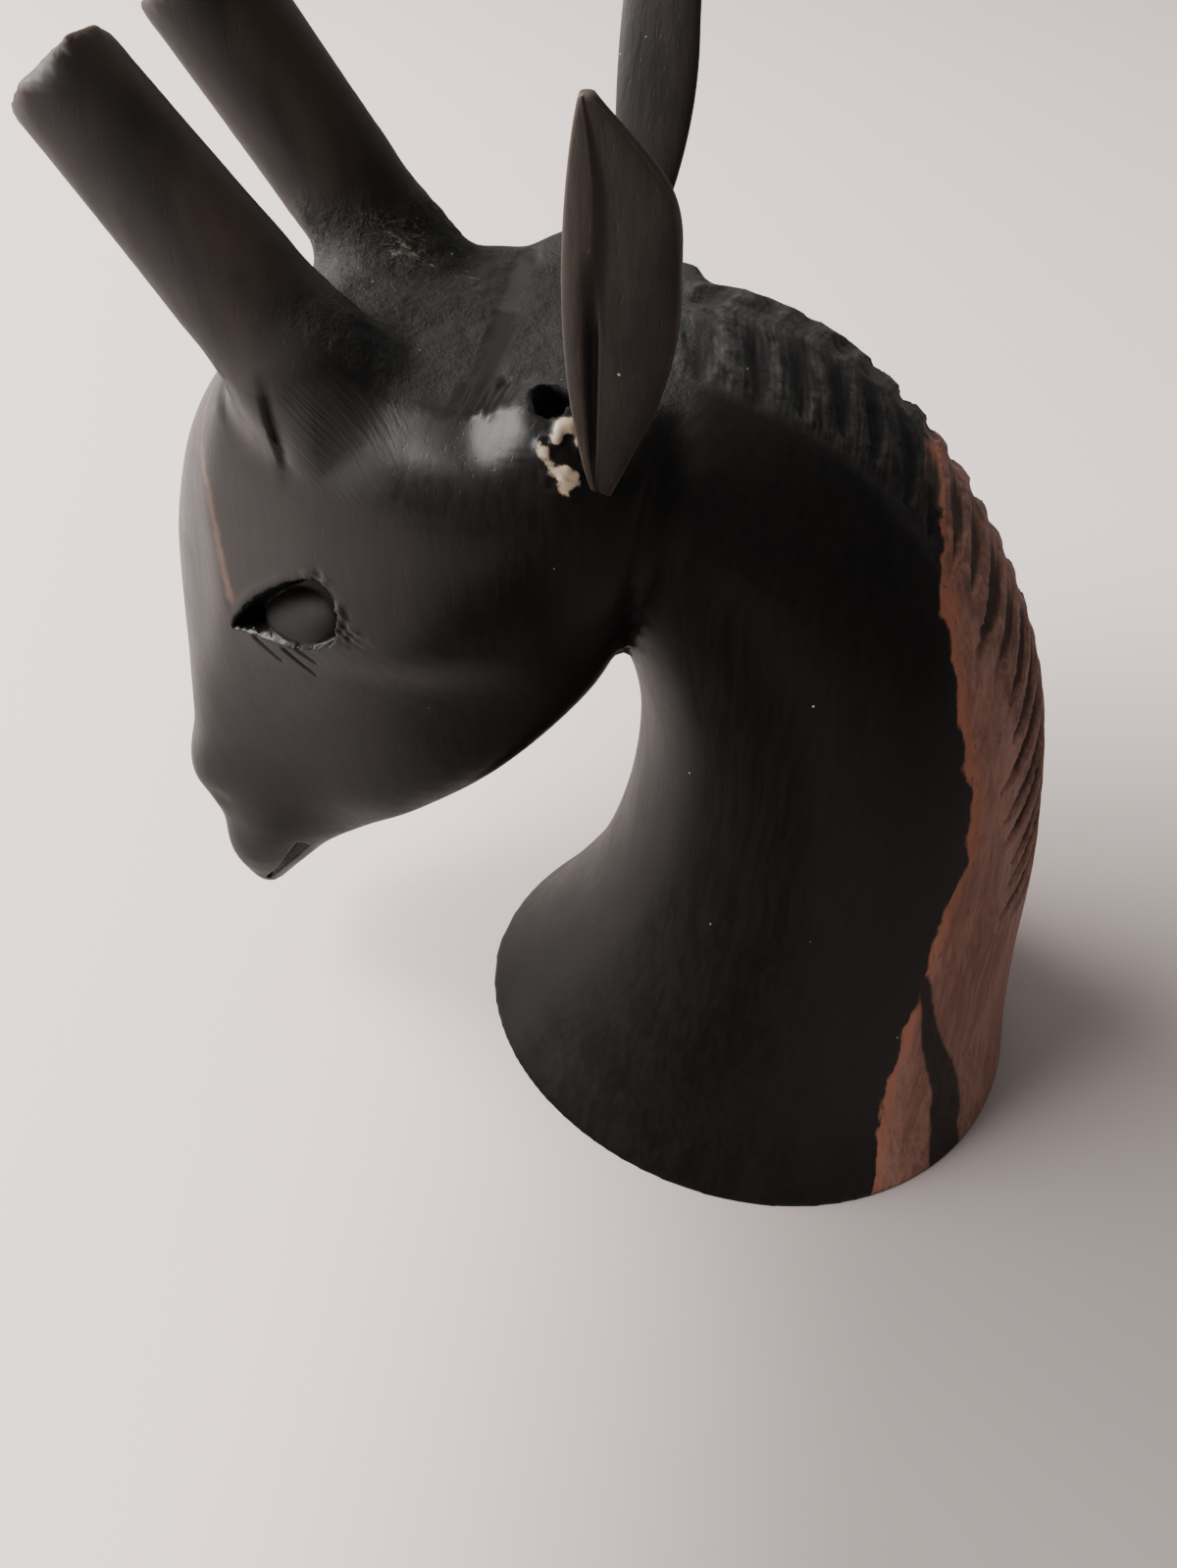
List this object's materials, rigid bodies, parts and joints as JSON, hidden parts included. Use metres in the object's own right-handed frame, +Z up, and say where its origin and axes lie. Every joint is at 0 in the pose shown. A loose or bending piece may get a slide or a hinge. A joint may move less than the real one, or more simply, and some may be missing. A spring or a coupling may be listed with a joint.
{
  "type": "carved giraffe head figure",
  "caption": "Small carved blackwood giraffe head on an arched, flared neck with a flat-cut foot, two blunt horns, a gouged mane and leaf-shaped ears.",
  "frame": {"origin": "middle of the flat-cut underside of the neck's foot, on the surface that the figure stands on", "axes": "+Z up from the foot to the crown, -Y the way the animal looks, +X the animal's left side"},
  "size_m": [0.055, 0.0933, 0.1033],
  "materials": {
    "blackwood": "near-black polished heartwood, worn brown on the edges, with reddish brown sapwood up the back of the neck",
    "ear_wood": "near-black wood with a duller, finely scraped surface"
  },
  "bodies": {
    "root": {"head_and_neck": "blackwood", "left_ear": "ear_wood", "right_ear": "ear_wood"}
  },
  "joints": []
}
